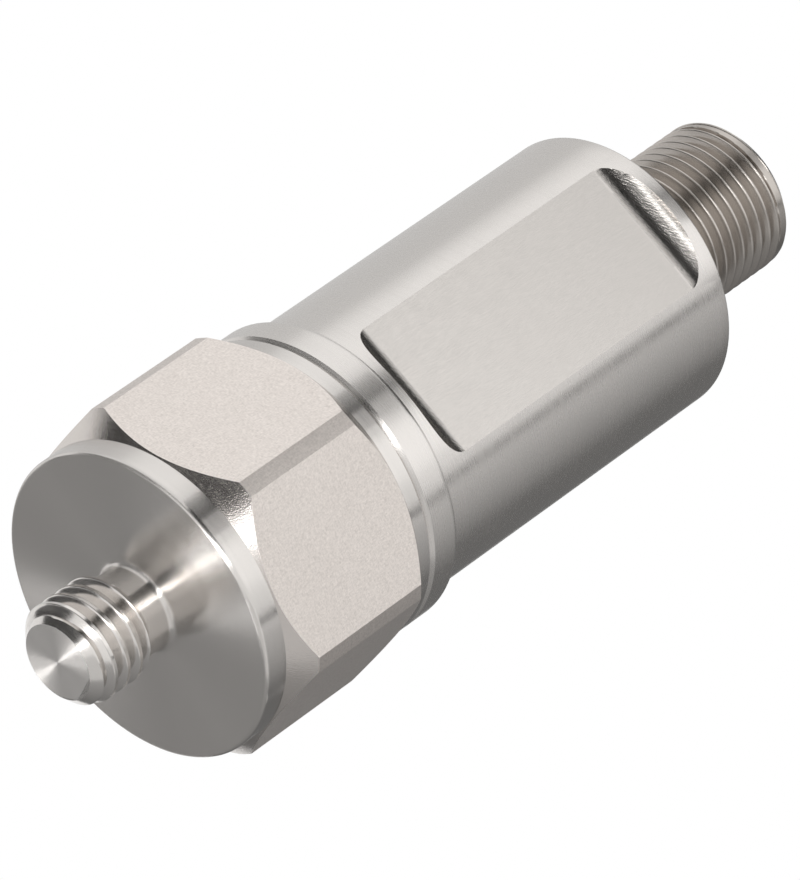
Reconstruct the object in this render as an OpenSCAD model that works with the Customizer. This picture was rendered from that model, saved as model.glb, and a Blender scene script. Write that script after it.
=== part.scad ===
// Stud-mounted vibration sensor with a hexagon base and a round plug connector.
// The origin is the centre of the seat face. The stud points down, the connector up,
// and the label flat faces -Y. All lengths are in millimetres.

/* [Mounting stud] */
// Diameter of the stud over its thread crests
stud_d = 8; // [6:1:10]
// Length of the stud below the seat face
stud_len = 8; // [6.5:0.5:14]
// Chamfer at the tip of the stud
stud_tip_chamfer = 0.8; // [0.3:0.1:1]
// Length of the relief neck under the seat face
stud_neck_len = 3; // [1.5:0.1:4]
// Depth of the relief neck below the thread crests
stud_neck_depth = 0.75; // [0.4:0.05:1]
// Fillet between the relief neck and the seat face
stud_root_fillet = 0.5; // [0.2:0.1:0.8]

/* [Hexagon base] */
// Turned diameter of the seat flange, of the ring behind the hexagon and of the housing collar
base_d = 23.8; // [23:0.1:24.6]
// Thickness of the seat flange in front of the hexagon
flange_t = 2; // [1:0.1:4]
// Edge chamfer of the seat flange
flange_chamfer = 0.3; // [0.1:0.1:0.8]
// Hexagon across its flats
hex_af = 24; // [23:0.5:26]
// Turned diameter over the corners of the hexagon
hex_corner_d = 27; // [26:0.1:28.5]
// Length of the hexagon between its turned chamfers
hex_len = 10.6; // [6:0.1:20]
// Turn of the hexagon against the label flat, in degrees
hex_turn = -2; // [-30:1:30]
// Length of the plain ring behind the hexagon
ring_len = 1.45; // [0.8:0.05:4]
// Steel left between the seat face and the sensor pocket
pocket_floor_t = 5; // [3:0.1:8]
// Length of the spigot that the housing is pressed on
spigot_len = 3.2; // [2.6:0.1:5]
// Wall of the spigot around the sensor pocket
spigot_wall = 1.4; // [1.2:0.1:1.8]
// Step from the housing bore out to the spigot
spigot_step = 1; // [0.6:0.1:1.2]

/* [Housing] */
// Diameter of the round body
body_d = 22; // [21:0.1:23]
// Length of the housing from the joint to its rear face
housing_len = 33.75; // [30:0.25:60]
// Length of the collar at the joint
collar_len = 2.85; // [1.5:0.05:5]
// Chamfer of the collar at the joint
collar_chamfer = 0.3; // [0.1:0.1:0.6]
// Rounding of the collar towards the body
collar_round = 0.5; // [0.1:0.1:0.5]
// Rounding of the rear edge
rear_round = 0.2; // [0.1:0.1:1]
// Depth of the label flat below the round body
label_depth = 1.5; // [0.5:0.1:1.8]
// Steel left under the label flat
label_wall = 1.5; // [1.2:0.1:2]
// Length of the label flat between its end fillets
label_len = 24.8; // [10:0.1:25]
// Distance from the collar to the label flat
label_start = 3.1; // [2.5:0.1:6]
// Radius that the cutter leaves at the ends of the label flat
label_fillet = 2; // [1.8:0.1:4]

/* [Connector] */
// Diameter of the connector over its thread crests
connector_d = 12; // [11:0.5:14]
// Length of the connector behind the housing
connector_len = 13.3; // [11:0.1:20]
// Chamfer at the mouth of the connector
mouth_chamfer = 0.5; // [0.2:0.1:0.8]
// Length of the thread relief next to the housing
relief_len = 1; // [0.5:0.1:2]
// Depth of the thread relief below the thread crests
relief_depth = 0.8; // [0.3:0.1:1]
// Wall of the connector from the thread crests to the socket
connector_wall = 1.7; // [1.4:0.1:1.8]
// Depth of the socket
socket_depth = 8; // [7:0.1:10]
// Thickness of the connector flange that is pressed into the housing
shell_flange_t = 3.5; // [3:0.1:5]
// Step from the housing bore out to the connector flange
shell_step = 0.6; // [0.4:0.1:1]
// Diameter of the circle that the contacts stand on
contact_circle_d = 5; // [4.6:0.1:5.2]
// Diameter of a contact
contact_d = 1; // [0.8:0.05:1.1]
// Length of a contact above the floor of the socket
contact_len = 6; // [4:0.1:6.5]
// Step from a contact out to the collar that stops it in the carrier
contact_collar_step = 0.3; // [0.2:0.05:0.4]
// Step from a contact in to its solder tail
contact_tail_step = 0.1; // [0.05:0.05:0.2]
// Width of the coding key
key_w = 1.2; // [0.8:0.1:1.4]
// Height of the coding key above the socket wall
key_h = 0.8; // [0.5:0.1:1]
// Distance of the coding key's end below the mouth
key_recess = 1.5; // [1:0.1:3]
// Thickness of the carrier's flange
carrier_flange_t = 1.9; // [1.5:0.1:2.5]
// Step from the socket out to the carrier's flange
carrier_step = 1.2; // [0.8:0.1:1.5]

/* [Seals] */
// Section of the O-rings round the base and the connector flange
seal_section = 0.8; // [0.6:0.05:0.9]
// Section of the O-ring round the contact carrier
carrier_seal_section = 0.6; // [0.4:0.05:0.6]
// Extra width of a seal groove over its O-ring
groove_play = 0.3; // [0.2:0.05:0.5]

/* [Boards] */
// Thickness of the circuit boards
board_t = 1.2; // [0.8:0.1:1.6]
// Thickness of the resin under the sensor board
bond_t = 0.2; // [0.1:0.05:0.5]
// Distance of the main board behind the axis
board_y = 2; // [1.8:0.1:2.4]
// Gap from the connector flange to the contact board
contact_board_gap = 2; // [1.5:0.1:3]
// Width of the tabs that join the boards
tab_w = 1.8; // [1.2:0.1:2]
// Distance of the tabs from the axis
tab_x = 4.6; // [4.4:0.1:4.8]
// Wall of the insulating liner
liner_t = 0.5; // [0.2:0.1:0.6]
// Gap between a board and the wall round it
board_gap = 0.3; // [0.2:0.05:0.6]

/* [Chips] */
// Height of a moulded chip
chip_h = 0.9; // [0.6:0.05:1.1]
// Radius of the mark beside a chip's first contact
chip_mark_r = 0.2; // [0.1:0.05:0.25]
// Side of the accelerometer
accel_w = 3; // [2:0.1:3.4]
// Side of the microcontroller
mcu_w = 7; // [5:0.5:9]
// Side of the line driver
driver_w = 4; // [3:0.5:5]
// Side of the voltage regulator
regulator_w = 3; // [2:0.5:4]
// Side of the power inductor
inductor_w = 4; // [3:0.5:5]
// Height of the power inductor
inductor_h = 2; // [1.2:0.1:2.6]
// Thickness of the inductor's end plates
inductor_plate_t = 0.5; // [0.3:0.1:0.6]
// Step from the inductor's plates in to its winding
inductor_step = 0.3; // [0.2:0.1:0.6]
// Number of filter capacitors
capacitor_count = 3; // [1:1:4]
// Length of a filter capacitor
capacitor_l = 3.2; // [2:0.1:4]
// Width and height of a filter capacitor
capacitor_w = 1.6; // [0.8:0.1:1.8]
// Length of a filter capacitor's end caps
capacitor_cap = 0.5; // [0.2:0.1:0.8]
// Length of the surge suppressor
suppressor_l = 4.3; // [3:0.1:6]
// Width of the surge suppressor
suppressor_w = 2.6; // [1.6:0.1:3.6]
// Height of the surge suppressor
suppressor_h = 2.1; // [1:0.1:2.6]
// Length of the surge suppressor's feet
suppressor_foot = 0.9; // [0.5:0.1:1.4]
// Length of the crystal
crystal_l = 3.2; // [2:0.1:5]
// Width of the crystal
crystal_w = 2.5; // [1.6:0.1:3.2]
// Width of the crystal's soldered rim
crystal_rim = 0.2; // [0.1:0.05:0.3]

/* [Layout of the main board] */
// Height of the microcontroller above the lower end of the board
mcu_from_bottom = 14; // [12:0.5:15]
// Gap between the microcontroller and the crystal
crystal_gap = 1; // [0.5:0.1:2]
// Distance of the line driver from the upper end of the board
driver_from_top = 5; // [4:0.1:6]
// Gap between the line driver and the voltage regulator
regulator_gap = 1.5; // [0.5:0.1:2]
// Distance of the power inductor from the upper end of the board
inductor_from_top = 12; // [9:0.5:13]
// Distance of the surge suppressor from the upper end of the board
suppressor_from_top = 4; // [3:0.1:5]
// Gap between two filter capacitors
capacitor_gap = 1.4; // [0.4:0.1:1.4]

/* [Hidden] */
$fn = 96;
// Radial play of a pressed or slipped fit
fit = 0.03;
// Overlap that keeps cuts and joins clean
eps = 0.01;
steel = [0.78, 0.77, 0.75];
rubber = [0.10, 0.10, 0.11];
mould = [0.13, 0.13, 0.14];
gold = [0.83, 0.66, 0.30];
laminate = [0.10, 0.32, 0.20];
resin = [0.72, 0.62, 0.36];
film = [0.86, 0.78, 0.50];
ceramic = [0.62, 0.50, 0.36];
can = [0.80, 0.80, 0.82];

stud_r = stud_d / 2;
neck_r = stud_r - stud_neck_depth;
base_r = base_d / 2;
corner_r = hex_corner_d / 2;
// Hexagon chamfers are turned at 45 degrees, so their length equals their height
hex_chamfer = corner_r - base_r;
hex_z0 = flange_t + hex_chamfer;
hex_z1 = hex_z0 + hex_len;
joint_z = hex_z1 + hex_chamfer + ring_len;
spigot_z = joint_z + spigot_len;
body_r = body_d / 2;
flat_y = body_r - label_depth;
bore_r = flat_y - label_wall;
spigot_r = bore_r + spigot_step;
pocket_r = spigot_r - spigot_wall;
collar_z = joint_z + collar_len;
rear_z = joint_z + housing_len;
label_z0 = collar_z + label_start;
label_z1 = label_z0 + label_len;
// Free depth past the spigot, so that the joint closes on its outer faces
spigot_play = 0.2;

shell_r = bore_r + shell_step;
shell_z = rear_z - shell_flange_t;
thread_r = connector_d / 2;
socket_r = thread_r - connector_wall;
mouth_z = rear_z + connector_len;
socket_z = mouth_z - socket_depth;
carrier_z = shell_z + carrier_flange_t;
carrier_flange_r = socket_r + carrier_step;
contact_r = contact_d / 2;
collar_r = contact_r + contact_collar_step;
tail_r = contact_r - contact_tail_step;

base_seal_z = joint_z + spigot_len / 2;
shell_seal_z = rear_z - shell_flange_t / 2;
carrier_seal_z = (carrier_z + socket_z) / 2;

sensor_board_z = pocket_floor_t + bond_t;
sensor_top_z = sensor_board_z + board_t;
contact_top_z = shell_z - contact_board_gap;
contact_board_z = contact_top_z - board_t;
board_len = contact_board_z - sensor_top_z;
liner_r = bore_r - liner_t - fit;
board_r = liner_r - board_gap;
board_back_y = board_y + board_t;
board_half_w = sqrt(pow(board_r, 2) - pow(board_back_y, 2));
mcu_z = sensor_top_z + mcu_from_bottom;
mcu_low_z = mcu_z - mcu_w / 2;
driver_z = contact_board_z - driver_from_top;
// Height of a capacitor's end caps above its body
solder_t = 0.05;
// Thickness of the surge suppressor's sheet metal feet
foot_t = 0.2;

// Cylinder between two heights
module disc(r, z0, z1) {
    translate([0, 0, z0]) cylinder(r = r, h = z1 - z0);
}

// Cylinder between two heights whose lower and upper edges are chamfered
module turned(r, z0, z1, low = 0, high = 0) {
    rotate_extrude()
        polygon([[0, z0], [r - low, z0], [r, z0 + low], [r, z1 - high], [r - high, z1], [0, z1]]);
}

// Square groove round a shaft, as wide as its O-ring plus play
module seal_groove(shaft_r, section, z) {
    half = (section + groove_play) / 2;
    difference() {
        disc(shaft_r + section, z - half, z + half);
        disc(shaft_r + fit - section, z - half - eps, z + half + eps);
    }
}

// O-ring that fills the depth of its groove up to the wall round it
module o_ring(shaft_r, section, z) {
    translate([0, 0, z])
        rotate_extrude()
            translate([shaft_r + fit - section / 2, 0]) circle(r = section / 2 - fit / 2);
}

module contact_places() {
    for (i = [0 : 3]) rotate([0, 0, 45 + 90 * i]) translate([contact_circle_d / 2, 0, 0]) children();
}

// Stud with its relief neck, tip chamfer and root fillet
module stud() {
    shoulder_z = stud_neck_depth - stud_neck_len;
    rotate_extrude()
        polygon([
            [0, -stud_len], [stud_r - stud_tip_chamfer, -stud_len], [stud_r, stud_tip_chamfer - stud_len],
            [stud_r, -stud_neck_len], [neck_r, shoulder_z], [neck_r, eps], [0, eps]
        ]);
    rotate_extrude()
        difference() {
            translate([neck_r - eps, -stud_root_fillet]) square(stud_root_fillet + eps);
            translate([neck_r + stud_root_fillet, -stud_root_fillet]) circle(r = stud_root_fillet);
        }
}

// Hexagon bar with both ends turned down to the base diameter at 45 degrees
module hexagon() {
    intersection() {
        rotate_extrude()
            polygon([
                [0, 0], [base_r - flange_chamfer, 0], [base_r, flange_chamfer],
                [base_r, flange_t], [corner_r, hex_z0], [corner_r, hex_z1],
                [base_r, hex_z1 + hex_chamfer], [base_r, joint_z], [0, joint_z]
            ]);
        union() {
            rotate([0, 0, 30 + hex_turn]) cylinder(d = hex_af / cos(30), h = joint_z, $fn = 6);
            disc(base_r, 0, joint_z);
        }
    }
}

module mounting_base() {
    color(steel) difference() {
        union() {
            stud();
            hexagon();
            turned(spigot_r, joint_z - eps, spigot_z, high = spigot_play);
        }
        disc(pocket_r, pocket_floor_t, spigot_z + eps);
        seal_groove(spigot_r, seal_section, base_seal_z);
    }
}

// Milled flat whose ends keep the corner radius of the cutter
module label_cut() {
    cut_y = -flat_y - 2 * label_fillet;
    translate([-body_r, cut_y, label_z0]) cube([body_d, 2 * label_fillet, label_len]);
    for (z = [label_z0, label_z1])
        translate([-body_r, -flat_y - label_fillet, z])
            rotate([0, 90, 0]) cylinder(r = label_fillet, h = body_d);
}

// Turned outside of the housing: collar with chamfer and rounding, then the round body
module housing_outline() {
    turned(base_r, joint_z, collar_z - collar_round, low = collar_chamfer);
    disc(base_r - collar_round, collar_z - collar_round - eps, collar_z);
    translate([0, 0, collar_z - collar_round])
        rotate_extrude() translate([base_r - collar_round, 0]) intersection() {
            circle(r = collar_round);
            square(collar_round);
        }
    disc(body_r, collar_z - eps, rear_z - rear_round);
    disc(body_r - rear_round, rear_z - rear_round - eps, rear_z);
    translate([0, 0, rear_z - rear_round])
        rotate_extrude() translate([body_r - rear_round, 0]) intersection() {
            circle(r = rear_round);
            square(rear_round);
        }
}

module housing_sleeve() {
    color(steel) difference() {
        housing_outline();
        disc(spigot_r + fit, joint_z - eps, spigot_z + spigot_play);
        disc(bore_r, joint_z, shell_z + eps);
        disc(shell_r + fit, shell_z, rear_z + eps);
        label_cut();
    }
}

module connector_shell() {
    color(steel) difference() {
        union() {
            turned(shell_r, shell_z, rear_z, low = rear_round);
            disc(thread_r - relief_depth, rear_z - eps, rear_z + relief_len + eps);
            turned(thread_r, rear_z + relief_len, mouth_z, low = relief_depth, high = mouth_chamfer);
        }
        disc(socket_r, shell_z - eps, mouth_z + eps);
        disc(carrier_flange_r, shell_z - eps, carrier_z);
        seal_groove(shell_r, seal_section, shell_seal_z);
    }
}

module base_seal() {
    color(rubber) o_ring(spigot_r, seal_section, base_seal_z);
}

module shell_seal() {
    color(rubber) o_ring(shell_r, seal_section, shell_seal_z);
}

module carrier_seal() {
    color(rubber) o_ring(socket_r - fit, carrier_seal_section, carrier_seal_z);
}

// Insulator pushed in from inside the housing, with its key running up the socket wall
module contact_carrier() {
    carrier_r = socket_r - fit;
    color(mould) difference() {
        union() {
            disc(carrier_flange_r - fit, shell_z, carrier_z);
            disc(carrier_r, carrier_z - eps, socket_z);
            intersection() {
                translate([carrier_r - key_h, -key_w / 2, socket_z - eps])
                    cube([key_h, key_w, socket_depth - key_recess]);
                disc(carrier_r, socket_z - eps, mouth_z);
            }
        }
        contact_places() {
            disc(contact_r + fit, shell_z - eps, socket_z + eps);
            disc(collar_r + fit, shell_z - eps, carrier_z);
        }
        seal_groove(carrier_r, carrier_seal_section, carrier_seal_z);
    }
}

// Turned contact: round tip, shaft, collar and solder tail
module contact_pin(i) {
    tip_z = socket_z + contact_len;
    color(gold) rotate([0, 0, 45 + 90 * (i - 1)]) translate([contact_circle_d / 2, 0, 0]) {
        disc(contact_r, carrier_z - eps, tip_z - contact_r);
        translate([0, 0, tip_z - contact_r]) sphere(r = contact_r);
        disc(collar_r, shell_z, carrier_z);
        disc(tail_r, contact_board_z, shell_z + eps);
    }
}

// Slots that take the tabs of the main board
module tab_slots(z0, z1) {
    for (side = [-1, 1])
        translate([side * tab_x - tab_w / 2 - fit, board_y - fit, z0])
            cube([tab_w + 2 * fit, board_t + 2 * fit, z1 - z0]);
}

module contact_board() {
    color(laminate) difference() {
        disc(board_r, contact_board_z, contact_top_z);
        contact_places() disc(tail_r + fit, contact_board_z - eps, contact_top_z + eps);
        tab_slots(contact_board_z - eps, contact_top_z + eps);
    }
}

module main_board() {
    color(laminate) {
        translate([-board_half_w, board_y, sensor_top_z]) cube([2 * board_half_w, board_t, board_len]);
        for (side = [-1, 1])
            translate([side * tab_x - tab_w / 2, board_y, sensor_board_z])
                cube([tab_w, board_t, contact_top_z - sensor_board_z]);
    }
}

module sensor_board() {
    color(laminate) difference() {
        disc(pocket_r - board_gap, sensor_board_z, sensor_top_z);
        tab_slots(sensor_board_z - eps, sensor_top_z + eps);
    }
}

module sensor_bond() {
    color(resin) disc(pocket_r - fit, pocket_floor_t, sensor_board_z);
}

// Moulded chip lying on z = 0, with a sunk round mark beside its first contact
module chip(w) {
    mark_at = w / 2 - 2 * chip_mark_r;
    difference() {
        translate([-w / 2, -w / 2, 0]) cube([w, w, chip_h]);
        translate([-mark_at, mark_at, chip_h - chip_mark_r / 2]) cylinder(r = chip_mark_r, h = chip_h);
    }
}

// Places a piece on the front face of the main board
module on_front(x, z) {
    translate([x, board_y, z]) rotate([90, 0, 0]) children();
}

// Places a piece on the rear face of the main board
module on_back(x, z) {
    translate([x, board_back_y, z]) rotate([-90, 0, 0]) children();
}

module accelerometer() {
    color(mould) translate([0, 0, sensor_top_z]) chip(accel_w);
}

module microcontroller() {
    color(mould) on_front(0, mcu_z) chip(mcu_w);
}

// Metal can on its soldered rim
module crystal() {
    color(can) on_front(0, mcu_low_z - crystal_gap - crystal_w / 2) {
        translate([-crystal_l / 2, -crystal_w / 2, 0]) cube([crystal_l, crystal_w, crystal_rim + eps]);
        translate([crystal_rim - crystal_l / 2, crystal_rim - crystal_w / 2, crystal_rim])
            cube([crystal_l - 2 * crystal_rim, crystal_w - 2 * crystal_rim, chip_h - crystal_rim]);
    }
}

module line_driver() {
    color(mould) on_front(0, driver_z) chip(driver_w);
}

module voltage_regulator() {
    z = driver_z - (driver_w + regulator_w) / 2 - regulator_gap;
    color(mould) on_front(0, z) chip(regulator_w);
}

// Square ferrite plates at both ends of a drum winding
module power_inductor() {
    color(mould) on_back(0, contact_board_z - inductor_from_top) {
        for (z = [0, inductor_h - inductor_plate_t])
            translate([-inductor_w / 2, -inductor_w / 2, z]) cube([inductor_w, inductor_w, inductor_plate_t]);
        cylinder(d = inductor_w - 2 * inductor_step, h = inductor_h);
    }
}

// Row of chip capacitors with raised end caps
module filter_capacitors() {
    color(ceramic) for (i = [0 : capacitor_count - 1])
        on_back(0, mcu_low_z - i * (capacitor_w + capacitor_gap)) {
            translate([-capacitor_l / 2, solder_t - capacitor_w / 2, 0])
                cube([capacitor_l, capacitor_w - 2 * solder_t, capacitor_w - solder_t]);
            for (x = [-capacitor_l / 2, capacitor_l / 2 - capacitor_cap])
                translate([x, -capacitor_w / 2, 0]) cube([capacitor_cap, capacitor_w, capacitor_w]);
        }
}

// Moulded diode body on two sheet metal feet
module surge_suppressor() {
    color(mould) on_back(0, contact_board_z - suppressor_from_top) {
        translate([-suppressor_l / 2, -suppressor_w / 2, foot_t])
            cube([suppressor_l, suppressor_w, suppressor_h - foot_t]);
        for (x = [-suppressor_l / 2, suppressor_l / 2 - suppressor_foot])
            translate([x, -suppressor_w / 4, 0]) cube([suppressor_foot, suppressor_w / 2, foot_t + eps]);
    }
}

module board_liner() {
    color(film) difference() {
        disc(bore_r - fit, spigot_z, shell_z - spigot_play);
        disc(liner_r, spigot_z - eps, shell_z);
    }
}

mounting_base();
housing_sleeve();
connector_shell();
base_seal();
shell_seal();
contact_carrier();
carrier_seal();
contact_pin(1);  // contact_pin_1
contact_pin(2);  // contact_pin_2
contact_pin(3);  // contact_pin_3
contact_pin(4);  // contact_pin_4
contact_board();
main_board();
sensor_board();
sensor_bond();
accelerometer();
microcontroller();
crystal();
line_driver();
voltage_regulator();
power_inductor();
filter_capacitors();
surge_suppressor();
board_liner();
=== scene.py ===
import math

import bmesh
import bpy
from mathutils import Matrix, Vector


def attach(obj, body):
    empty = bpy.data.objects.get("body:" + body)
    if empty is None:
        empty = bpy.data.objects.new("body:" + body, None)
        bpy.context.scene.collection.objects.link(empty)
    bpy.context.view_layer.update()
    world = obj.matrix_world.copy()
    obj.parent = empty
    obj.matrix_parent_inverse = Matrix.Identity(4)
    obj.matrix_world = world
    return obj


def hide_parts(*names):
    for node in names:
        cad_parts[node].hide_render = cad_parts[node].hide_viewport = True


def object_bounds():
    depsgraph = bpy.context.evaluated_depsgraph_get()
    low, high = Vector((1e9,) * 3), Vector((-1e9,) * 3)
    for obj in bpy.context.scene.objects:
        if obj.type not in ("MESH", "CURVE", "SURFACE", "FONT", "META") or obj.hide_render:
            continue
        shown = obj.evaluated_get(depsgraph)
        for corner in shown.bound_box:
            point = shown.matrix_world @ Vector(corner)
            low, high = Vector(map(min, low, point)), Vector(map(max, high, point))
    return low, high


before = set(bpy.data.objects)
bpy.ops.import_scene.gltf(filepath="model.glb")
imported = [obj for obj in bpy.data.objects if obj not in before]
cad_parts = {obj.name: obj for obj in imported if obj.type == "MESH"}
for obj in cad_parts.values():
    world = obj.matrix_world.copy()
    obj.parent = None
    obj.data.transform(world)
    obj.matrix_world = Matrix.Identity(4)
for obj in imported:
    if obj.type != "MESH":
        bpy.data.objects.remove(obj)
cad_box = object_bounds()

# Mounting base: stud, seat flange, hexagon, rear ring and the spigot that the housing is pressed on.
# It is turned from one stainless steel bar, the six flats are milled afterwards, and the stud's
# thread is rolled. Lengths are millimetres until a mesh is finished.
MM = 0.001
FULL_TURN = 2 * math.pi
SPIN_STEPS = 132  # every hexagon flat gets 22 columns, and one meets each end of the turned corners
MERGE = 1e-4  # vertices this close become one
ON_PLANE = 1e-5  # a vertex this close to a cutting plane lies on it
NEAR = 1e-3  # a vertex this close to a height or a radius counts as there
STUD_PITCH = 1.25
STUD_CREST_R = 4.0
STUD_ROOT_R = 3.25  # the relief neck has the same radius
STUD_TIP_Z = -8.0
STUD_TIP_R = 2.95
STUD_CREST_Z = -3.0  # the crests run out from here
STUD_NECK_Z = -2.25  # to here
STUD_PHASE = -2.55  # height of a crest on the +X side
# Half of the stud thread's section, with the blunt crest of a loose fit: share of the pitch from the
# middle of the crest, share of the depth
STUD_HALF_FORM = [
    (0.0, 0.0), (0.1, 0.0), (0.125, 0.03), (0.15, 0.095), (0.2, 0.24), (0.26, 0.41),
    (0.33, 0.61), (0.4, 0.815), (0.435, 0.92), (0.47, 1.0), (0.5, 1.0),
]


def cut_thread(bm, half_form, pitch, crest_r, root_r, low_z, high_z, phase, trim):
    """Screws a thread's section round Z, cuts it off at both heights and trims its radius at each height."""
    section = half_form + [(1 - along, deep) for along, deep in half_form[-2:0:-1]]
    first = math.floor((low_z - phase) / pitch) - 1
    last = math.ceil((high_z - phase) / pitch) + 1
    points = [
        bm.verts.new((crest_r - deep * (crest_r - root_r), 0, phase + (turn + along) * pitch))
        for turn in range(first, last)
        for along, deep in section
    ]
    edges = [bm.edges.new(pair) for pair in zip(points, points[1:])]
    bmesh.ops.spin(
        bm, geom=points + edges, cent=(0, 0, 0), axis=(0, 0, 1), dvec=(0, 0, pitch / SPIN_STEPS),
        angle=FULL_TURN, steps=SPIN_STEPS, use_merge=False, use_duplicate=False,
    )
    bmesh.ops.remove_doubles(bm, verts=bm.verts, dist=MERGE)
    for height, side in ((low_z, -1), (high_z, 1)):
        bmesh.ops.bisect_plane(
            bm, geom=bm.verts[:] + bm.edges[:] + bm.faces[:], dist=ON_PLANE,
            plane_co=(0, 0, height), plane_no=(0, 0, side), clear_outer=True,
        )
    for vert in bm.verts:
        radius = math.hypot(vert.co.x, vert.co.y)
        share = trim(radius, vert.co.z) / radius
        vert.co.x *= share
        vert.co.y *= share


def trim_stud(radius, z):
    """The tip chamfer and the relief neck, both at 45 degrees, take the ends of the stud's thread away."""
    tip_chamfer = STUD_TIP_R + z - STUD_TIP_Z
    neck_chamfer = max(STUD_ROOT_R, STUD_CREST_R + STUD_CREST_Z - z)
    return min(radius, tip_chamfer, neck_chamfer)


def open_loop(bm, height):
    """Open edges of a mesh that lie at one height."""
    return [e for e in bm.edges if e.is_boundary and all(abs(v.co.z - height) < NEAR for v in e.verts)]


base = bmesh.new()
cut_thread(
    base, STUD_HALF_FORM, STUD_PITCH, STUD_CREST_R, STUD_ROOT_R,
    STUD_TIP_Z, STUD_NECK_Z, STUD_PHASE, trim_stud,
)
bmesh.ops.contextual_create(base, geom=open_loop(base, STUD_TIP_Z))

# The rest of the base is one outline, turned from the plain neck to the floor of the sensor's pocket
NECK_MIDDLE_Z = -2.0
ROOT_FILLET = 0.5
FLANGE_R = 11.9
FLANGE_T = 2.0
FLANGE_ROUND = 0.3
HEX_HALF = 12.0
HEX_CORNER_R = 13.5
HEX_TURN = math.radians(-2)
HEX_LOW_Z = 3.6
HEX_HIGH_Z = 14.2
JOINT_Z = 17.25
JOINT_CHAMFER = 0.2
JOINT_GAP = 0.08
JOINT_DEPTH = 0.7
SPIGOT_R = 9.0
SPIGOT_Z = 20.45
SPIGOT_CHAMFER = 0.2
POCKET_R = 7.6
POCKET_Z = 5.0
GROOVE_FLOOR_R = 8.23
GROOVE_LOW_Z = 18.3
GROOVE_HIGH_Z = 19.4
EDGE_HOLD = 0.1  # a ring this far from a rounding keeps its shading off the face beside it


def turn_outline(bm, outline, closed=False, first_angle=0.0):
    """Turns an outline of (radius, height) points once round Z."""
    points = [bm.verts.new((r * math.cos(first_angle), r * math.sin(first_angle), z)) for r, z in outline]
    pairs = list(zip(points, points[1:])) + ([(points[-1], points[0])] if closed else [])
    edges = [bm.edges.new(pair) for pair in pairs]
    bmesh.ops.spin(
        bm, geom=points + edges, cent=(0, 0, 0), axis=(0, 0, 1), dvec=(0, 0, 0),
        angle=FULL_TURN, steps=SPIN_STEPS, use_merge=True, use_duplicate=False,
    )


def arc(centre_r, centre_z, radius, start, end, steps=6):
    """Points of a rounding or fillet in an outline, angles in degrees."""
    angles = [math.radians(start + (end - start) * i / steps) for i in range(steps + 1)]
    return [(centre_r + radius * math.cos(a), centre_z + radius * math.sin(a)) for a in angles]


turn_outline(
    base,
    [(STUD_ROOT_R, NECK_MIDDLE_Z)]
    + arc(STUD_ROOT_R + ROOT_FILLET, -ROOT_FILLET, ROOT_FILLET, 180, 90)
    + [(STUD_ROOT_R + ROOT_FILLET + EDGE_HOLD, 0), (FLANGE_R - FLANGE_ROUND - EDGE_HOLD, 0)]
    + arc(FLANGE_R - FLANGE_ROUND, FLANGE_ROUND, FLANGE_ROUND, -90, 0)
    + [
        (FLANGE_R, FLANGE_ROUND + EDGE_HOLD), (FLANGE_R, FLANGE_T),
        (HEX_CORNER_R, HEX_LOW_Z), (HEX_CORNER_R, HEX_HIGH_Z), (FLANGE_R, HEX_HIGH_Z + HEX_LOW_Z - FLANGE_T),
        (FLANGE_R, JOINT_Z - JOINT_GAP - JOINT_CHAMFER), (FLANGE_R - JOINT_CHAMFER, JOINT_Z - JOINT_GAP),
        (FLANGE_R - JOINT_DEPTH, JOINT_Z - JOINT_GAP), (FLANGE_R - JOINT_DEPTH, JOINT_Z), (SPIGOT_R, JOINT_Z),
        (SPIGOT_R, GROOVE_LOW_Z), (GROOVE_FLOOR_R, GROOVE_LOW_Z),
        (GROOVE_FLOOR_R, GROOVE_HIGH_Z), (SPIGOT_R, GROOVE_HIGH_Z),
        (SPIGOT_R, SPIGOT_Z - SPIGOT_CHAMFER), (SPIGOT_R - SPIGOT_CHAMFER, SPIGOT_Z),
        (POCKET_R, SPIGOT_Z), (POCKET_R, POCKET_Z), (0, POCKET_Z),
    ],
    first_angle=HEX_TURN,
)
bmesh.ops.bridge_loops(base, edges=open_loop(base, STUD_NECK_Z) + open_loop(base, NECK_MIDDLE_Z))
bmesh.ops.remove_doubles(base, verts=base.verts, dist=MERGE)
# The milled flats draw the turned corners in, and their ends follow the turned cones
for vert in base.verts:
    if abs(math.hypot(vert.co.x, vert.co.y) - HEX_CORNER_R) < NEAR:
        angle = math.atan2(vert.co.y, vert.co.x)
        off = (angle - HEX_TURN + math.pi / 6) % (math.pi / 3) - math.pi / 6
        radius = min(HEX_HALF / math.cos(off), HEX_CORNER_R)
        low = vert.co.z < (HEX_LOW_Z + HEX_HIGH_Z) / 2
        vert.co.z += (radius - HEX_CORNER_R) if low else (HEX_CORNER_R - radius)
        vert.co.x = radius * math.cos(angle)
        vert.co.y = radius * math.sin(angle)
FLATS, THREAD, CONES, TIP = range(1, 5)  # finishes after the plain turned one
TIP_SKIN = 0.01  # slivers of the chamfer this close to the end take the tip's finish too
for face in base.faces:
    centre = face.calc_center_median()
    outside = math.hypot(centre.x, centre.y) > FLANGE_R
    if outside and HEX_LOW_Z < centre.z < HEX_HIGH_Z:
        face.material_index = FLATS
    elif outside:
        face.material_index = CONES
    elif centre.z < STUD_TIP_Z + TIP_SKIN:
        face.material_index = TIP
    elif centre.z < STUD_NECK_Z:
        face.material_index = THREAD

SHARP_ANGLE = math.radians(25)


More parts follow.
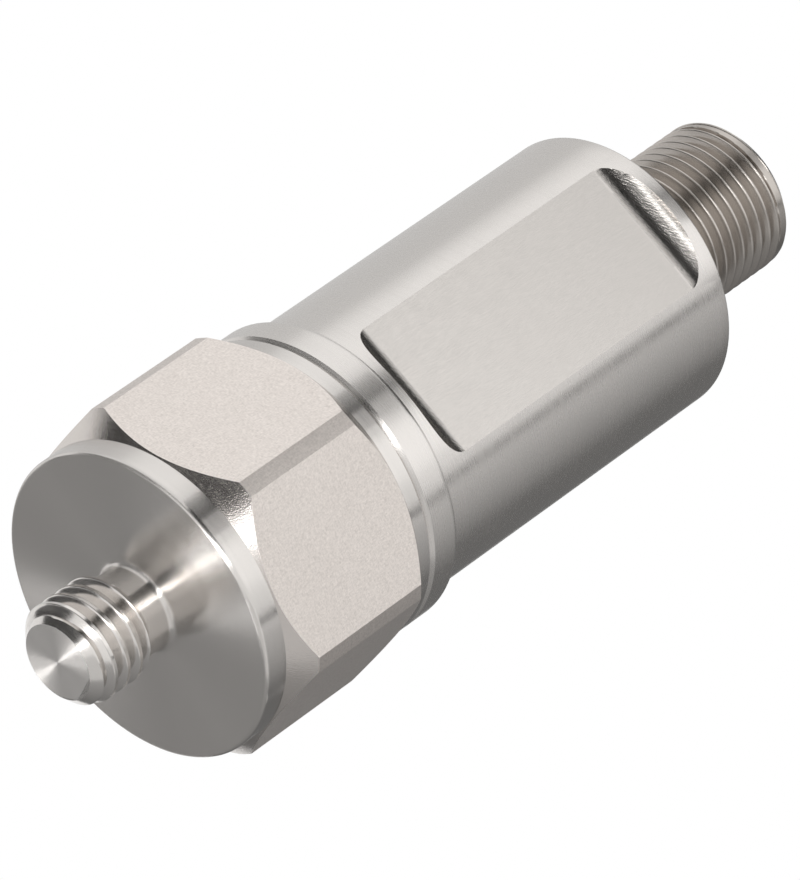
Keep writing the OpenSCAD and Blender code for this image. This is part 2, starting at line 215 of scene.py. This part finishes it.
def finish_piece(bm, name, materials, node):
    """Closes a mesh, shades its faces, scales it to metres and hands it to the frame."""
    bmesh.ops.remove_doubles(bm, verts=bm.verts, dist=MERGE)
    bmesh.ops.recalc_face_normals(bm, faces=bm.faces)
    for face in bm.faces:
        face.smooth = True
    for edge in bm.edges:
        edge.smooth = edge.calc_face_angle(0.0) < SHARP_ANGLE
    bmesh.ops.scale(bm, vec=(MM, MM, MM), verts=bm.verts)
    mesh = bpy.data.meshes.new(name)
    bm.to_mesh(mesh)
    bm.free()
    for material in materials:
        mesh.materials.append(material)
    piece = bpy.data.objects.new(name, mesh)
    bpy.context.scene.collection.objects.link(piece)
    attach(piece, "root")
    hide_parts(node)


def linear(code):
    """Linear colour of an sRGB hex value."""
    parts = [int(code[i:i + 2], 16) / 255 for i in (1, 3, 5)]
    return tuple(p / 12.92 if p <= 0.04045 else ((p + 0.055) / 1.055) ** 2.4 for p in parts) + (1.0,)


def new_finish(name):
    """New material with an empty node tree."""
    material = bpy.data.materials.new(name)
    material.use_nodes = True
    material.node_tree.nodes.clear()
    return material


def add_node(tree, kind, inputs=None, **settings):
    """Adds a node with its settings, and sets or links its inputs."""
    made = tree.nodes.new(kind)
    for name, value in settings.items():
        setattr(made, name, value)
    for key, value in (inputs or {}).items():
        if isinstance(value, bpy.types.NodeSocket):
            tree.links.new(value, made.inputs[key])
        else:
            made.inputs[key].default_value = value
    return made


NOISE_SUM_LOW, NOISE_SUM_HIGH = 0.6, 1.4  # two noises that are added mostly stay between these


def turned_steel(name, colour, feed, groove_height, grain_height, roughness, spread, stretch):
    """Stainless steel off the lathe: tool marks run round the axis, so lights smear across them.

    Real feed marks and grain are finer than a pixel, so both are drawn coarse enough to show.
    """
    patch_size = 2.5
    grain_size = 0.1
    across_marks = 0.25  # a quarter turn: lights stretch at right angles to the marks
    material = new_finish(name)
    tree = material.node_tree
    place = add_node(tree, "ShaderNodeTexCoord").outputs["Object"]
    flat = add_node(tree, "ShaderNodeVectorMath", {0: place, 1: (1, 1, 0)}, operation="MULTIPLY").outputs[0]
    radius = add_node(tree, "ShaderNodeVectorMath", {0: flat}, operation="LENGTH").outputs["Value"]
    height = add_node(tree, "ShaderNodeSeparateXYZ", {0: place}).outputs["Z"]
    section = add_node(tree, "ShaderNodeCombineXYZ", {"X": radius, "Y": height}).outputs[0]
    marks = add_node(
        tree, "ShaderNodeTexNoise", {"Vector": section, "Scale": 1 / (feed * MM), "Detail": 3.0},
        noise_dimensions="2D",
    ).outputs["Fac"]
    patches = add_node(
        tree, "ShaderNodeTexNoise", {"Vector": place, "Scale": 1 / (patch_size * MM), "Detail": 4.0},
    ).outputs["Fac"]
    mixed = add_node(tree, "ShaderNodeMath", {0: marks, 1: patches}, operation="ADD").outputs[0]
    gloss = add_node(
        tree, "ShaderNodeMapRange",
        {
            "Value": mixed, "From Min": NOISE_SUM_LOW, "From Max": NOISE_SUM_HIGH,
            "To Min": roughness - spread, "To Max": roughness + spread,
        },
    ).outputs[0]
    grain = add_node(
        tree, "ShaderNodeTexNoise", {"Vector": place, "Scale": 1 / (grain_size * MM), "Detail": 2.0},
    ).outputs["Fac"]
    relief = add_node(
        tree, "ShaderNodeBump", {"Height": grain, "Distance": grain_height * MM, "Strength": 1.0},
    ).outputs[0]
    relief = add_node(
        tree, "ShaderNodeBump",
        {"Height": marks, "Distance": groove_height * MM, "Strength": 1.0, "Normal": relief},
    ).outputs[0]
    round_axis = add_node(tree, "ShaderNodeTangent", direction_type="RADIAL", axis="Z").outputs[0]
    steel = add_node(
        tree, "ShaderNodeBsdfPrincipled",
        {
            "Base Color": linear(colour), "Metallic": 1.0, "Roughness": gloss, "Normal": relief,
            "Anisotropic": stretch, "Anisotropic Rotation": across_marks, "Tangent": round_axis,
        },
    ).outputs[0]
    add_node(tree, "ShaderNodeOutputMaterial", {"Surface": steel})
    return material


def milled_steel(
    name, colour, shade, mark, mark_length, mark_height, cross, slant, roughness, spread,
):
    """Stainless steel off the milling cutter: marks along the piece and across it leave a grainy sheen.

    Real cutter marks are finer than a pixel, so they are drawn coarse enough to show.
    """
    patch_size = 1.6
    material = new_finish(name)
    tree = material.node_tree
    place = add_node(tree, "ShaderNodeTexCoord").outputs["Object"]
    turned = add_node(
        tree, "ShaderNodeVectorRotate", {"Vector": place, "Angle": math.radians(slant)},
        rotation_type="Y_AXIS",
    ).outputs[0]
    layers = []
    for width, length in ((mark, mark_length), (mark_length, mark)):
        per_mark = (1 / (width * MM), 1 / (width * MM), 1 / (length * MM))
        squeezed = add_node(
            tree, "ShaderNodeVectorMath", {0: turned, 1: per_mark}, operation="MULTIPLY",
        ).outputs[0]
        layer = add_node(tree, "ShaderNodeTexNoise", {"Vector": squeezed, "Scale": 1.0, "Detail": 3.0})
        layers.append(layer.outputs["Fac"])
    marks = add_node(
        tree, "ShaderNodeMix", {0: cross, 2: layers[0], 3: layers[1]}, data_type="FLOAT",
    ).outputs[0]
    patches = add_node(
        tree, "ShaderNodeTexNoise", {"Vector": place, "Scale": 1 / (patch_size * MM), "Detail": 4.0},
    ).outputs["Fac"]
    mixed = add_node(tree, "ShaderNodeMath", {0: marks, 1: patches}, operation="ADD").outputs[0]
    gloss = add_node(
        tree, "ShaderNodeMapRange",
        {
            "Value": mixed, "From Min": NOISE_SUM_LOW, "From Max": NOISE_SUM_HIGH,
            "To Min": roughness - spread, "To Max": roughness + spread,
        },
    ).outputs[0]
    relief = add_node(
        tree, "ShaderNodeBump", {"Height": marks, "Distance": mark_height * MM, "Strength": 1.0},
    ).outputs[0]
    tint = add_node(
        tree, "ShaderNodeMix", {0: marks, 6: linear(colour), 7: linear(shade)}, data_type="RGBA",
    ).outputs[2]
    steel = add_node(
        tree, "ShaderNodeBsdfPrincipled",
        {"Base Color": tint, "Metallic": 1.0, "Roughness": gloss, "Normal": relief},
    ).outputs[0]
    add_node(tree, "ShaderNodeOutputMaterial", {"Surface": steel})
    return material


# Flange, ring and neck: a lamp becomes a ray across the flange's rings and a band along the neck
base_lathe = turned_steel(
    "turned_stainless_base", "#D5D1CD", feed=0.25, groove_height=0.004, grain_height=0.0006,
    roughness=0.23, spread=0.03, stretch=1.0,
)
# Flats: as many marks across as along, for an even, speckled sheen
base_mill = milled_steel(
    "milled_stainless_hexagon", "#FFF7F1", "#A9A29C", mark=0.08, mark_length=0.26, mark_height=0.009,
    cross=0.5, slant=0, roughness=0.37, spread=0.03,
)
# Stud: rolling leaves no tool marks, so the crests shine in all directions
stud_thread = turned_steel(
    "rolled_stainless_thread", "#D9D5D1", feed=0.3, groove_height=0.0003, grain_height=0.0016,
    roughness=0.18, spread=0.04, stretch=0.0,
)
# Cones at both ends of the hexagon: faced with a coarse tool, so they are mottled
coarse_lathe = turned_steel(
    "faced_stainless_cone", "#CEC8C3", feed=0.14, groove_height=0.0004, grain_height=0.012,
    roughness=0.17, spread=0.04, stretch=0.5,
)
# Tip of the stud: faced to its centre, which gives a fan of light. Its colour is lighter than the rest of the
# base's, though it is the same steel: painted light on the tip
tip_lathe = turned_steel(
    "faced_stainless_tip", "#F2EEEA", feed=0.14, groove_height=0.0012, grain_height=0.0008,
    roughness=0.31, spread=0.03, stretch=0.93,
)
base_steels = [base_lathe, base_mill, stud_thread, coarse_lathe, tip_lathe]
finish_piece(base, "mounting_base_turned", base_steels, "mounting_base")

# Housing sleeve: collar, round body and label flat. It is turned from stainless steel bar and bored
# right through, the flat is milled with a cutter of corner radius 2 mm, and the sleeve is pressed
# onto the base until the collar meets the ring behind the hexagon.
BODY_R = 11.0
COLLAR_Z = 20.1
COLLAR_CHAMFER = 0.3
COLLAR_ROUND = 0.5
REAR_Z = 51.0
REAR_ROUND = 0.2
SPIGOT_PLAY = 0.03
BORE_R = 8.0
BORE_LOW_Z = 20.65
SHELL_SEAT_Z = 47.5
SHELL_SEAT_R = 8.63
FLAT_Y = 9.5
LABEL_LOW_Z = 23.2
LABEL_HIGH_Z = 48.0
CUTTER_R = 2.0
CUTTER_STEPS = 10
flat_half_angle = math.acos(FLAT_Y / BODY_R)
cutter_reach = math.acos((FLAT_Y + CUTTER_R - BODY_R) / CUTTER_R)


def label_rings(end_z, side):
    """Rings of the body that the cutter's corner radius uses up at one end of the flat."""
    shares = [i / CUTTER_STEPS for i in range(CUTTER_STEPS + 1)]
    return [(BODY_R, end_z - side * EDGE_HOLD)] + [
        (BODY_R, end_z + side * CUTTER_R * math.sin(cutter_reach * share)) for share in shares
    ]


low_rings = label_rings(LABEL_LOW_Z, -1)[::-1]
high_rings = label_rings(LABEL_HIGH_Z, 1)
sleeve = bmesh.new()
turn_outline(
    sleeve,
    [
        (SPIGOT_R + SPIGOT_PLAY, JOINT_Z), (FLANGE_R - COLLAR_CHAMFER, JOINT_Z),
        (FLANGE_R, JOINT_Z + COLLAR_CHAMFER), (FLANGE_R, COLLAR_Z - COLLAR_ROUND - EDGE_HOLD),
    ]
    + arc(FLANGE_R - COLLAR_ROUND, COLLAR_Z - COLLAR_ROUND, COLLAR_ROUND, 0, 90)
    + [(BODY_R, COLLAR_Z)]
    + low_rings
    + high_rings
    + arc(BODY_R - REAR_ROUND, REAR_Z - REAR_ROUND, REAR_ROUND, 0, 90, steps=4)
    + [
        (SHELL_SEAT_R, REAR_Z), (SHELL_SEAT_R, SHELL_SEAT_Z), (BORE_R, SHELL_SEAT_Z),
        (BORE_R, BORE_LOW_Z), (SPIGOT_R + SPIGOT_PLAY, BORE_LOW_Z),
    ],
    closed=True,
    first_angle=-math.pi / 2,
)
bmesh.ops.remove_doubles(sleeve, verts=sleeve.verts, dist=MERGE)
column = FULL_TURN / SPIN_STEPS
edge_column = round(flat_half_angle / column)


def on_label(vert):
    """True from the lower to the upper end of the body's outside, where the flat is cut."""
    outside = math.hypot(vert.co.x, vert.co.y) > FLAT_Y - EDGE_HOLD
    return outside and COLLAR_Z + EDGE_HOLD < vert.co.z < REAR_Z - REAR_ROUND - EDGE_HOLD


# The columns gather where the cutter's path leaves the body, and the cutter draws those before it in
for vert in sleeve.verts:
    off = math.atan2(vert.co.x, -vert.co.y)
    steps = round(abs(off) / column)
    if steps > edge_column:
        continue
    off = math.copysign(flat_half_angle * math.sin(math.pi / 2 * steps / edge_column), off)
    depth = math.hypot(vert.co.x, vert.co.y) * math.cos(off)
    if on_label(vert):
        low = vert.co.z < (LABEL_LOW_Z + LABEL_HIGH_Z) / 2
        end_z, side = (LABEL_LOW_Z, -1) if low else (LABEL_HIGH_Z, 1)
        past = max(0.0, side * (vert.co.z - end_z))
        sweep = math.acos(min(1.0, (FLAT_Y + CUTTER_R - BODY_R * math.cos(off)) / CUTTER_R))
        sweep *= math.asin(past / CUTTER_R) / cutter_reach
        depth = FLAT_Y + CUTTER_R - CUTTER_R * math.cos(sweep)
        vert.co.z += side * (CUTTER_R * math.sin(sweep) - past)
    vert.co.x = depth * math.tan(off)
    vert.co.y = -depth
bmesh.ops.remove_doubles(sleeve, verts=sleeve.verts, dist=MERGE)
sleeve.normal_update()
LABEL, FILLET = range(1, 3)  # finishes after the plain turned one
FILLET_LEAN = 0.05  # a fillet's faces lean more than this along the axis
for face in sleeve.faces:
    cut = any(math.hypot(v.co.x, v.co.y) < BODY_R - NEAR for v in face.verts)
    if cut and all(on_label(v) for v in face.verts):
        face.material_index = FILLET if abs(face.normal.z) > FILLET_LEAN else LABEL
# Collar and body: fine turning, which draws each light out into a soft band along the sleeve
sleeve_lathe = turned_steel(
    "turned_stainless_body", "#D7D3CF", feed=0.12, groove_height=0.0005, grain_height=0.0016,
    roughness=0.27, spread=0.04, stretch=0.8,
)
# Label flat: a fine finishing cut along the body, nearly even
label_mill = milled_steel(
    "milled_stainless_label_flat", "#ECE7E2", "#E0DBD6", mark=0.08, mark_length=0.64, mark_height=0.003,
    cross=0.15, slant=0, roughness=0.2, spread=0.03,
)
# End fillets: the cutter's corner leaves deeper, slanting streaks
fillet_mill = milled_steel(
    "milled_stainless_fillet", "#ECE7E2", "#CEC9C4", mark=0.07, mark_length=0.56, mark_height=0.016,
    cross=0.85, slant=20, roughness=0.16, spread=0.03,
)
sleeve_steels = [sleeve_lathe, label_mill, fillet_mill]
finish_piece(sleeve, "housing_sleeve_turned", sleeve_steels, "housing_sleeve")

# Connector shell: round plug connector with a rolled outside thread and a plain lip at its mouth.
# It is turned from steel and its flange is pressed into the rear of the housing.
PLUG_PITCH = 1.0
PLUG_CREST_R = 6.0
PLUG_ROOT_R = 5.387
PLUG_PHASE = 55.93  # height of a crest on the +X side
MOUTH_Z = 64.3
MOUTH_R = 5.36
MOUTH_RIM = 0.1
RELIEF_R = 5.2
RELIEF_Z = 52.0
RELIEF_LOW_Z = RELIEF_Z - 0.2
THREAD_LOW_Z = RELIEF_Z + 0.02
LIP_Z = 62.95
LIP_STEP = 0.06
LIP_SLOPE = 6
SOCKET_R = 4.3
SOCKET_CHAMFER = 0.3
CARRIER_SEAT_R = 5.5
CARRIER_SEAT_Z = 49.4
SHELL_R = 8.6
SHELL_GROOVE_R = 7.83
SHELL_GROOVE_LOW_Z = 48.7
SHELL_GROOVE_HIGH_Z = 49.8
# Half of the connector thread's section, with sharper crests than the stud's
PLUG_HALF_FORM = [
    (0.0, 0.0), (0.045, 0.0), (0.075, 0.04), (0.1, 0.106), (0.17, 0.304), (0.24, 0.501),
    (0.31, 0.699), (0.38, 0.896), (0.41, 0.965), (0.45, 1.0), (0.5, 1.0),
]


def trim_plug(radius, z):
    """A plain lip fills the groove at the mouth, and the mouth chamfer and the relief take the ends away."""
    lip = min(PLUG_CREST_R - LIP_STEP, PLUG_ROOT_R + LIP_SLOPE * (z - LIP_Z))
    mouth_chamfer = MOUTH_R + MOUTH_Z - z
    relief_chamfer = RELIEF_R + z - RELIEF_Z
    return min(max(radius, lip), mouth_chamfer, relief_chamfer)


shell = bmesh.new()
cut_thread(
    shell, PLUG_HALF_FORM, PLUG_PITCH, PLUG_CREST_R, PLUG_ROOT_R,
    THREAD_LOW_Z, MOUTH_Z, PLUG_PHASE, trim_plug,
)
turn_outline(
    shell,
    [
        (MOUTH_R - MOUTH_RIM, MOUTH_Z), (SOCKET_R + SOCKET_CHAMFER, MOUTH_Z),
        (SOCKET_R, MOUTH_Z - SOCKET_CHAMFER), (SOCKET_R, CARRIER_SEAT_Z),
        (CARRIER_SEAT_R, CARRIER_SEAT_Z), (CARRIER_SEAT_R, SHELL_SEAT_Z),
        (SHELL_R - REAR_ROUND, SHELL_SEAT_Z), (SHELL_R, SHELL_SEAT_Z + REAR_ROUND),
        (SHELL_R, SHELL_GROOVE_LOW_Z), (SHELL_GROOVE_R, SHELL_GROOVE_LOW_Z),
        (SHELL_GROOVE_R, SHELL_GROOVE_HIGH_Z), (SHELL_R, SHELL_GROOVE_HIGH_Z), (SHELL_R, REAR_Z),
        (RELIEF_R, REAR_Z), (RELIEF_R, RELIEF_LOW_Z),
    ],
)
bmesh.ops.bridge_loops(shell, edges=open_loop(shell, MOUTH_Z))
bmesh.ops.bridge_loops(shell, edges=open_loop(shell, THREAD_LOW_Z) + open_loop(shell, RELIEF_LOW_Z))
# A darker, warmer steel than the housing's, and smooth from rolling
shell_thread = turned_steel(
    "rolled_steel_connector", "#B9B3AD", feed=0.2, groove_height=0.0003, grain_height=0.0008,
    roughness=0.24, spread=0.03, stretch=0.0,
)
finish_piece(shell, "connector_shell_turned", [shell_thread], "connector_shell")

# Seals: three moulded nitrile O-rings, in the grooves of the spigot, the connector flange and the
# contact carrier. Only their edges could ever show.


def moulded(name, colour, mottle, roughness, grain, grain_height, metallic=0.0):
    """Moulded, pressed or plated part: a fine even grain, with a slight mottle in colour and gloss."""
    spread = 0.06
    material = new_finish(name)
    tree = material.node_tree
    place = add_node(tree, "ShaderNodeTexCoord").outputs["Object"]
    grains = add_node(
        tree, "ShaderNodeTexNoise", {"Vector": place, "Scale": 1 / (grain * MM), "Detail": 3.0},
    ).outputs["Fac"]
    shade = add_node(
        tree, "ShaderNodeMix", {0: grains, 6: linear(colour), 7: linear(mottle)}, data_type="RGBA",
    ).outputs[2]
    gloss = add_node(
        tree, "ShaderNodeMapRange",
        {"Value": grains, "To Min": roughness - spread, "To Max": roughness + spread},
    ).outputs[0]
    relief = add_node(
        tree, "ShaderNodeBump", {"Height": grains, "Distance": grain_height * MM, "Strength": 1.0},
    ).outputs[0]
    body = add_node(
        tree, "ShaderNodeBsdfPrincipled",
        {"Base Color": shade, "Metallic": metallic, "Roughness": gloss, "Normal": relief},
    ).outputs[0]
    add_node(tree, "ShaderNodeOutputMaterial", {"Surface": body})
    return material


def dress(material, *names):
    """Gives CAD nodes that keep their own shape their material."""
    for name in names:
        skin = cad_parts[name].data.materials
        skin.clear()
        skin.append(material)


# Black rubber with a dull, slightly greasy sheen
nitrile = moulded("moulded_nitrile", "#1B1B1C", "#242425", roughness=0.6, grain=0.15, grain_height=0.004)
dress(nitrile, "base_seal", "shell_seal", "carrier_seal")

# Contact carrier and contacts: black polyamide insert with its coding key, and four turned brass
# pins plated with gold that are pushed in from behind.

# Hard black plastic with the satin of a spark-eroded mould
polyamide = moulded("moulded_polyamide", "#1D1E20", "#26272A", roughness=0.5, grain=0.2, grain_height=0.006)
dress(polyamide, "contact_carrier")
# Thin gold over smooth brass, bright and warm
gold = moulded(
    "gold_plated_brass", "#D9B25A", "#CFA54C", roughness=0.22, grain=0.1, grain_height=0.0006, metallic=1.0,
)
dress(gold, "contact_pin_1", "contact_pin_2", "contact_pin_3", "contact_pin_4")

# Electronics: three laminate boards with solder mask, joined by tabs, the chips on them, the resin
# under the sensor board and the film tube round them.

# Green lacquer over the weave of the glass cloth
laminate = moulded("solder_mask_laminate", "#14522F", "#1A6038", roughness=0.4, grain=0.4, grain_height=0.01)
dress(laminate, "contact_board", "main_board", "sensor_board")
# Amber resin, poured and glossy
epoxy = moulded("cured_epoxy", "#B59A5C", "#A98D50", roughness=0.25, grain=0.6, grain_height=0.01)
dress(epoxy, "sensor_bond")
# Black chip bodies, matt from the filler in the resin
mould = moulded("chip_mould_compound", "#232325", "#2C2C2F", roughness=0.55, grain=0.08, grain_height=0.003)
dress(mould, "accelerometer", "microcontroller", "line_driver", "voltage_regulator", "surge_suppressor")
# Drawn can, plated bright
can = moulded(
    "nickel_plated_can", "#C9C9CC", "#BDBDC1", roughness=0.25, grain=0.15, grain_height=0.001, metallic=1.0,
)
dress(can, "crystal")
# Pressed and fired powder, dark grey and dull
ferrite = moulded("sintered_ferrite", "#2E2D2F", "#3A393B", roughness=0.7, grain=0.1, grain_height=0.006)
dress(ferrite, "power_inductor")
# Fired brown ceramic with a faint gloss
ceramic = moulded("capacitor_ceramic", "#A98662", "#9C7A58", roughness=0.45, grain=0.1, grain_height=0.002)
dress(ceramic, "filter_capacitors")
# Smooth amber plastic film
film = moulded("insulating_film", "#C9A24F", "#C29A46", roughness=0.35, grain=0.5, grain_height=0.002)
dress(film, "board_liner")

# Studio: white surroundings and a pale floor that only shows from above. Soft boxes, one of them right
# behind the camera, give the steel its highlights, and grey cards that only reflections see give it its
# dark bands. Lengths are metres from here on, and panels are placed in the camera's axes.
scene = bpy.context.scene
scene.view_settings.view_transform = "Standard"
# The camera's place, axes and lens are fitted to the turned edges that the photograph shows
eye = Vector((0.0632, -0.4639, -0.3252))
right = Vector((0.6357, -0.4106, 0.6538))
up = Vector((-0.7647, -0.4513, 0.4600))
back = Vector((0.1062, -0.7923, -0.6008))
camera_axes = Matrix((right, up, back)).transposed()
camera = bpy.data.objects.new("camera", bpy.data.cameras.new("camera"))
camera.data.lens = 339.9
camera.data.sensor_width = 36
camera.matrix_world = Matrix.Translation(eye) @ camera_axes.to_4x4()
scene.collection.objects.link(camera)
scene.camera = camera

SEEN_LEVEL = 1.0
FILL_LEVEL = 0.8  # what the surroundings give to matt surfaces
world = bpy.data.worlds.new("white_surroundings")
scene.world = world
world.use_nodes = True
sky = world.node_tree
sky.nodes.clear()
ray = add_node(sky, "ShaderNodeLightPath").outputs
seen = add_node(
    sky, "ShaderNodeMath", {0: ray["Is Camera Ray"], 1: ray["Is Glossy Ray"]}, operation="MAXIMUM",
).outputs[0]
seen = add_node(
    sky, "ShaderNodeMath", {0: seen, 1: ray["Is Transmission Ray"]}, operation="MAXIMUM",
).outputs[0]
level = add_node(
    sky, "ShaderNodeMapRange", {"Value": seen, "To Min": FILL_LEVEL, "To Max": SEEN_LEVEL},
).outputs[0]
light = add_node(sky, "ShaderNodeBackground", {"Color": (1, 1, 1, 1), "Strength": level}).outputs[0]
add_node(sky, "ShaderNodeOutputWorld", {"Surface": light})

middle = Vector((0, 0, 0.028))


def facing(direction, across, distance):
    """Place and turn of a panel that faces the middle of the sensor, given in the camera's axes."""
    outward = (camera_axes @ Vector(direction)).normalized()
    along = camera_axes @ Vector(across)
    along = (along - outward * along.dot(outward)).normalized()
    turn = Matrix((along, outward.cross(along), outward)).transposed().to_4x4()
    return Matrix.Translation(middle + outward * distance) @ turn


def soft_box(name, direction, across, distance, width, height, radiance):
    """Soft box of an even brightness."""
    lamp = bpy.data.lights.new(name, "AREA")
    lamp.shape = "RECTANGLE"
    lamp.size = width
    lamp.size_y = height
    lamp.energy = radiance * math.pi * width * height
    holder = bpy.data.objects.new(name, lamp)
    holder.matrix_world = facing(direction, across, distance)
    scene.collection.objects.link(holder)


def card(name, direction, across, distance, width, height, start, end):
    """Grey card, from one shade to another along its width, that only reflections see."""
    panel = bmesh.new()
    bmesh.ops.create_grid(panel, x_segments=1, y_segments=1, size=0.5)
    bmesh.ops.scale(panel, vec=(width, height, 1), verts=panel.verts)
    mesh = bpy.data.meshes.new(name)
    panel.to_mesh(mesh)
    panel.free()
    paint = new_finish(name)
    tree = paint.node_tree
    place = add_node(tree, "ShaderNodeTexCoord").outputs["Object"]
    side = add_node(tree, "ShaderNodeSeparateXYZ", {0: place}).outputs["X"]
    shade = add_node(
        tree, "ShaderNodeMapRange",
        {"Value": side, "From Min": -width / 2, "From Max": width / 2, "To Min": start, "To Max": end},
    ).outputs[0]
    glow = add_node(tree, "ShaderNodeEmission", {"Strength": shade}).outputs[0]
    add_node(tree, "ShaderNodeOutputMaterial", {"Surface": glow})
    mesh.materials.append(paint)
    holder = bpy.data.objects.new(name, mesh)
    holder.matrix_world = facing(direction, across, distance)
    holder.visible_camera = False
    holder.visible_shadow = False
    holder.visible_diffuse = False
    scene.collection.objects.link(holder)


# Direction of each panel from the sensor, direction of its width, distance, width and height, then the
# radiance of a soft box or the shades at both ends of a card's width
soft_box("overhead_soft_box", (0.08, 0.98, -0.16), (1, 0, 0), 0.5, 0.25, 0.5, 0.2)
soft_box("right_soft_box", (0.88, 0.4, 0.25), (0, 1, 0), 0.5, 0.3, 0.4, 0.3)
soft_box("front_strip_box", (-0.6, -0.42, 0.68), (-0.57, -0.38, -0.85), 0.45, 0.58, 0.06, 4.5)
soft_box("low_left_lamp", (-0.81, -0.57, 0.12), (0, 1, 0), 0.5, 0.03, 0.03, 8.0)
soft_box("low_lamp", (-0.745, -0.665, 0.03), (0, 1, 0), 0.5, 0.04, 0.04, 6.0)
soft_box("camera_lamp", (0.0, -0.02, 1.0), (0.58, -0.82, 0), 0.62, 0.2, 0.12, 9.0)
card("rear_card", (-0.19, 0.6, -0.77), (0, 1, 0.6), 0.5, 0.62, 0.6, 0.7, 0.76)
card("camera_card", (0.28, 0.62, 0.74), (-0.48, -0.66, 0.88), 0.5, 0.78, 0.16, 0.03, 0.03)
card("lens_card", (0.15, 0.38, 0.91), (-0.72, -0.55, 0.4), 0.5, 0.42, 0.3, 0.03, 0.03)
card("connector_edge_card", (0.695, 0.71, 0.07), (-0.02, -0.02, -1), 0.46, 0.18, 0.15, 0.92, 0.04)
card("connector_side_card", (0.56, 0.56, -0.61), (-0.45, -0.45, -0.77), 0.47, 0.74, 0.2, 0.04, 0.04)
card("fillet_edge_card", (0.565, 0.675, 0.47), (-0.12, -0.06, 0.245), 0.48, 0.16, 0.1, 0.95, 0.02)
card("fillet_end_card", (-0.221, 0.092, 0.971), (-0.73, -0.68, 0), 0.49, 0.07, 0.16, 0.05, 0.05)
card("right_frame_card", (0.992, -0.11, 0.0), (0.1, -0.8, -0.6), 0.45, 0.03, 0.4, 0.0, 0.0)
card("right_low_card", (0.885, -0.345, -0.305), (-0.4, -0.55, -0.75), 0.5, 0.42, 0.7, 0.66, 0.18)
card("behind_card", (0.45, -0.42, -0.8), (-0.6, 0.3, -0.5), 0.6, 0.6, 0.8, 0.17, 0.17)
card("left_card", (-0.78, -0.55, -0.28), (0, 1, 0), 0.55, 0.52, 0.6, 0.28, 0.34)
card("stud_side_card", (-0.99, -0.053, 0.13), (0, 0, 1), 0.3, 0.3, 0.068, 0.05, 0.05)
card("bottom_card", (-0.1, -0.97, -0.2), (0, 0, 1), 0.55, 0.8, 0.8, 0.16, 0.45)
card("camera_side_card", (-0.52, 0.17, 0.84), (0.31, -0.3, 0.25), 0.55, 0.36, 0.18, 0.03, 0.03)
card("left_front_card", (-0.88, 0.4, 0.26), (0, 0, 1), 0.5, 0.46, 0.22, 0.06, 0.06)
card("low_front_card", (0.13, -0.79, 0.6), (1, 0, 0), 0.5, 0.4, 0.42, 0.7, 0.7)

FLOOR_HALF = 3.0
floor_mesh = bmesh.new()
bmesh.ops.create_grid(floor_mesh, x_segments=1, y_segments=1, size=FLOOR_HALF)
bmesh.ops.translate(floor_mesh, vec=(0, 0, cad_box[0].z), verts=floor_mesh.verts)
floor_data = bpy.data.meshes.new("floor")
floor_mesh.to_mesh(floor_data)
floor_mesh.free()
floor = bpy.data.objects.new("floor", floor_data)
# Pale paint above, and nothing at all from below
paint = new_finish("pale_floor")
tree = paint.node_tree
underside = add_node(tree, "ShaderNodeNewGeometry").outputs["Backfacing"]
pale = add_node(tree, "ShaderNodeBsdfDiffuse", {"Color": linear("#F4F4F4")}).outputs[0]
clear = add_node(tree, "ShaderNodeBsdfTransparent").outputs[0]
mixed = add_node(tree, "ShaderNodeMixShader", {0: underside, 1: pale, 2: clear}).outputs[0]
add_node(tree, "ShaderNodeOutputMaterial", {"Surface": mixed})
floor_data.materials.append(paint)
floor.visible_glossy = False
floor.visible_diffuse = False
floor.visible_transmission = False
floor.visible_shadow = False
scene.collection.objects.link(floor)
